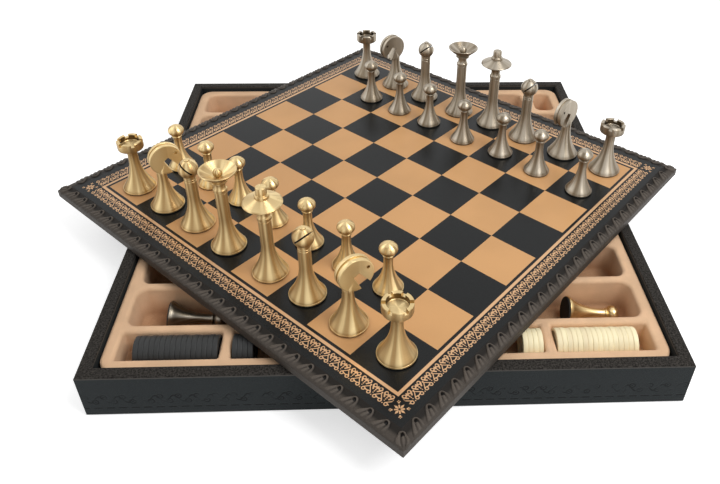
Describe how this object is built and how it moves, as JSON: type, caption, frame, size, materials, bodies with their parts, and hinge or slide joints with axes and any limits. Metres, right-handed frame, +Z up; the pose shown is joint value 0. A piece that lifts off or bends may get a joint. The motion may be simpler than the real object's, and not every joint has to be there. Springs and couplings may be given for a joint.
{
  "type": "chess box",
  "caption": "Leather-covered chess box: a flocked tray with pockets, a lift-off board for its lid laid across the rim, turned metal chessmen and draughts.",
  "frame": {"origin": "middle of the case's underside, on the floor", "axes": "+X to the right along the front wall, +Y towards the back wall, +Z up"},
  "size_m": [0.5384, 0.5384, 0.1232],
  "materials": {
    "case_leather": "satin, embossed",
    "flock": "flocked",
    "felt": "felt",
    "panel": "plain board",
    "board_leather": "printed, gloss",
    "carved_edge": "carved, dark bronze",
    "brass": "satin, turned",
    "pewter": "antique, turned",
    "black_draught": "gloss",
    "cream_draught": "gloss"
  },
  "bodies": {
    "case": {"foot_felt": "felt", "floor_panel": "panel", "front_wall": "case_leather", "right_wall": "case_leather", "back_wall": "case_leather", "left_wall": "case_leather", "flocked_tray": "flock"},
    "board": {"lining_felt": "felt", "board_panel": "panel", "playing_sheet": "board_leather", "near_moulding": "carved_edge", "right_moulding": "carved_edge", "far_moulding": "carved_edge", "left_moulding": "carved_edge"},
    "brass_rook_a": {"brass_rook_a": "brass"},
    "brass_knight_b": {"brass_knight_b": "brass"},
    "brass_bishop_c": {"brass_bishop_c": "brass"},
    "brass_queen": {"brass_queen": "brass"},
    "brass_king": {"brass_king": "brass"},
    "brass_bishop_f": {"brass_bishop_f": "brass"},
    "brass_knight_g": {"brass_knight_g": "brass"},
    "brass_rook_h": {"brass_rook_h": "brass"},
    "brass_pawn_a": {"brass_pawn_a": "brass"},
    "brass_pawn_b": {"brass_pawn_b": "brass"},
    "brass_pawn_c": {"brass_pawn_c": "brass"},
    "brass_pawn_d": {"brass_pawn_d": "brass"},
    "brass_pawn_e": {"brass_pawn_e": "brass"},
    "brass_pawn_f": {"brass_pawn_f": "brass"},
    "brass_pawn_g": {"brass_pawn_g": "brass"},
    "pewter_rook_a": {"pewter_rook_a": "pewter"},
    "pewter_knight_b": {"pewter_knight_b": "pewter"},
    "pewter_bishop_c": {"pewter_bishop_c": "pewter"},
    "pewter_queen": {"pewter_queen": "pewter"},
    "pewter_king": {"pewter_king": "pewter"},
    "pewter_bishop_f": {"pewter_bishop_f": "pewter"},
    "pewter_knight_g": {"pewter_knight_g": "pewter"},
    "pewter_rook_h": {"pewter_rook_h": "pewter"},
    "pewter_pawn_b": {"pewter_pawn_b": "pewter"},
    "pewter_pawn_c": {"pewter_pawn_c": "pewter"},
    "pewter_pawn_d": {"pewter_pawn_d": "pewter"},
    "pewter_pawn_e": {"pewter_pawn_e": "pewter"},
    "pewter_pawn_f": {"pewter_pawn_f": "pewter"},
    "pewter_pawn_g": {"pewter_pawn_g": "pewter"},
    "pewter_pawn_h": {"pewter_pawn_h": "pewter"},
    "black_draughts_long": {"black_draughts_long": "black_draught"},
    "black_draughts_short": {"black_draughts_short": "black_draught"},
    "cream_draughts_long": {"cream_draughts_long": "cream_draught"},
    "cream_draughts_short": {"cream_draughts_short": "cream_draught"},
    "brass_pawn_h": {"brass_pawn_h": "brass"},
    "pewter_pawn_a": {"pewter_pawn_a": "pewter"}
  },
  "joints": [
    {"name": "board_lift", "type": "slide", "parent": "case", "child": "board", "axis": [0, 0, 1], "range_m": [0, 0.12]},
    {"name": "brass_rook_a_lift", "type": "slide", "parent": "board", "child": "brass_rook_a", "axis": [0, 0, 1], "range_m": [0, 0.08]},
    {"name": "brass_knight_b_lift", "type": "slide", "parent": "board", "child": "brass_knight_b", "axis": [0, 0, 1], "range_m": [0, 0.08]},
    {"name": "brass_bishop_c_lift", "type": "slide", "parent": "board", "child": "brass_bishop_c", "axis": [0, 0, 1], "range_m": [0, 0.08]},
    {"name": "brass_queen_lift", "type": "slide", "parent": "board", "child": "brass_queen", "axis": [0, 0, 1], "range_m": [0, 0.08]},
    {"name": "brass_king_lift", "type": "slide", "parent": "board", "child": "brass_king", "axis": [0, 0, 1], "range_m": [0, 0.08]},
    {"name": "brass_bishop_f_lift", "type": "slide", "parent": "board", "child": "brass_bishop_f", "axis": [0, 0, 1], "range_m": [0, 0.08]},
    {"name": "brass_knight_g_lift", "type": "slide", "parent": "board", "child": "brass_knight_g", "axis": [0, 0, 1], "range_m": [0, 0.08]},
    {"name": "brass_rook_h_lift", "type": "slide", "parent": "board", "child": "brass_rook_h", "axis": [0, 0, 1], "range_m": [0, 0.08]},
    {"name": "brass_pawn_a_lift", "type": "slide", "parent": "board", "child": "brass_pawn_a", "axis": [0, 0, 1], "range_m": [0, 0.08]},
    {"name": "brass_pawn_b_lift", "type": "slide", "parent": "board", "child": "brass_pawn_b", "axis": [0, 0, 1], "range_m": [0, 0.08]},
    {"name": "brass_pawn_c_lift", "type": "slide", "parent": "board", "child": "brass_pawn_c", "axis": [0, 0, 1], "range_m": [0, 0.08]},
    {"name": "brass_pawn_d_lift", "type": "slide", "parent": "board", "child": "brass_pawn_d", "axis": [0, 0, 1], "range_m": [0, 0.08]},
    {"name": "brass_pawn_e_lift", "type": "slide", "parent": "board", "child": "brass_pawn_e", "axis": [0, 0, 1], "range_m": [0, 0.08]},
    {"name": "brass_pawn_f_lift", "type": "slide", "parent": "board", "child": "brass_pawn_f", "axis": [0, 0, 1], "range_m": [0, 0.08]},
    {"name": "brass_pawn_g_lift", "type": "slide", "parent": "board", "child": "brass_pawn_g", "axis": [0, 0, 1], "range_m": [0, 0.08]},
    {"name": "pewter_rook_a_lift", "type": "slide", "parent": "board", "child": "pewter_rook_a", "axis": [0, 0, 1], "range_m": [0, 0.08]},
    {"name": "pewter_knight_b_lift", "type": "slide", "parent": "board", "child": "pewter_knight_b", "axis": [0, 0, 1], "range_m": [0, 0.08]},
    {"name": "pewter_bishop_c_lift", "type": "slide", "parent": "board", "child": "pewter_bishop_c", "axis": [0, 0, 1], "range_m": [0, 0.08]},
    {"name": "pewter_queen_lift", "type": "slide", "parent": "board", "child": "pewter_queen", "axis": [0, 0, 1], "range_m": [0, 0.08]},
    {"name": "pewter_king_lift", "type": "slide", "parent": "board", "child": "pewter_king", "axis": [0, 0, 1], "range_m": [0, 0.08]},
    {"name": "pewter_bishop_f_lift", "type": "slide", "parent": "board", "child": "pewter_bishop_f", "axis": [0, 0, 1], "range_m": [0, 0.08]},
    {"name": "pewter_knight_g_lift", "type": "slide", "parent": "board", "child": "pewter_knight_g", "axis": [0, 0, 1], "range_m": [0, 0.08]},
    {"name": "pewter_rook_h_lift", "type": "slide", "parent": "board", "child": "pewter_rook_h", "axis": [0, 0, 1], "range_m": [0, 0.08]},
    {"name": "pewter_pawn_b_lift", "type": "slide", "parent": "board", "child": "pewter_pawn_b", "axis": [0, 0, 1], "range_m": [0, 0.08]},
    {"name": "pewter_pawn_c_lift", "type": "slide", "parent": "board", "child": "pewter_pawn_c", "axis": [0, 0, 1], "range_m": [0, 0.08]},
    {"name": "pewter_pawn_d_lift", "type": "slide", "parent": "board", "child": "pewter_pawn_d", "axis": [0, 0, 1], "range_m": [0, 0.08]},
    {"name": "pewter_pawn_e_lift", "type": "slide", "parent": "board", "child": "pewter_pawn_e", "axis": [0, 0, 1], "range_m": [0, 0.08]},
    {"name": "pewter_pawn_f_lift", "type": "slide", "parent": "board", "child": "pewter_pawn_f", "axis": [0, 0, 1], "range_m": [0, 0.08]},
    {"name": "pewter_pawn_g_lift", "type": "slide", "parent": "board", "child": "pewter_pawn_g", "axis": [0, 0, 1], "range_m": [0, 0.08]},
    {"name": "pewter_pawn_h_lift", "type": "slide", "parent": "board", "child": "pewter_pawn_h", "axis": [0, 0, 1], "range_m": [0, 0.08]},
    {"name": "black_draughts_long_lift", "type": "slide", "parent": "case", "child": "black_draughts_long", "axis": [0, 0, 1], "range_m": [0, 0.045]},
    {"name": "cream_draughts_long_lift", "type": "slide", "parent": "case", "child": "cream_draughts_long", "axis": [0, 0, 1], "range_m": [0, 0.045]},
    {"name": "black_draughts_short_slide", "type": "slide", "parent": "case", "child": "black_draughts_short", "axis": [1, 0, 0], "range_m": [0, 0.085]},
    {"name": "cream_draughts_short_slide", "type": "slide", "parent": "case", "child": "cream_draughts_short", "axis": [-1, 0, 0], "range_m": [0, 0.085]},
    {"name": "brass_pawn_h_slide", "type": "slide", "parent": "case", "child": "brass_pawn_h", "axis": [-1, 0, 0], "range_m": [0, 0.12]},
    {"name": "pewter_pawn_a_slide", "type": "slide", "parent": "case", "child": "pewter_pawn_a", "axis": [1, 0, 0], "range_m": [0, 0.11]}
  ]
}
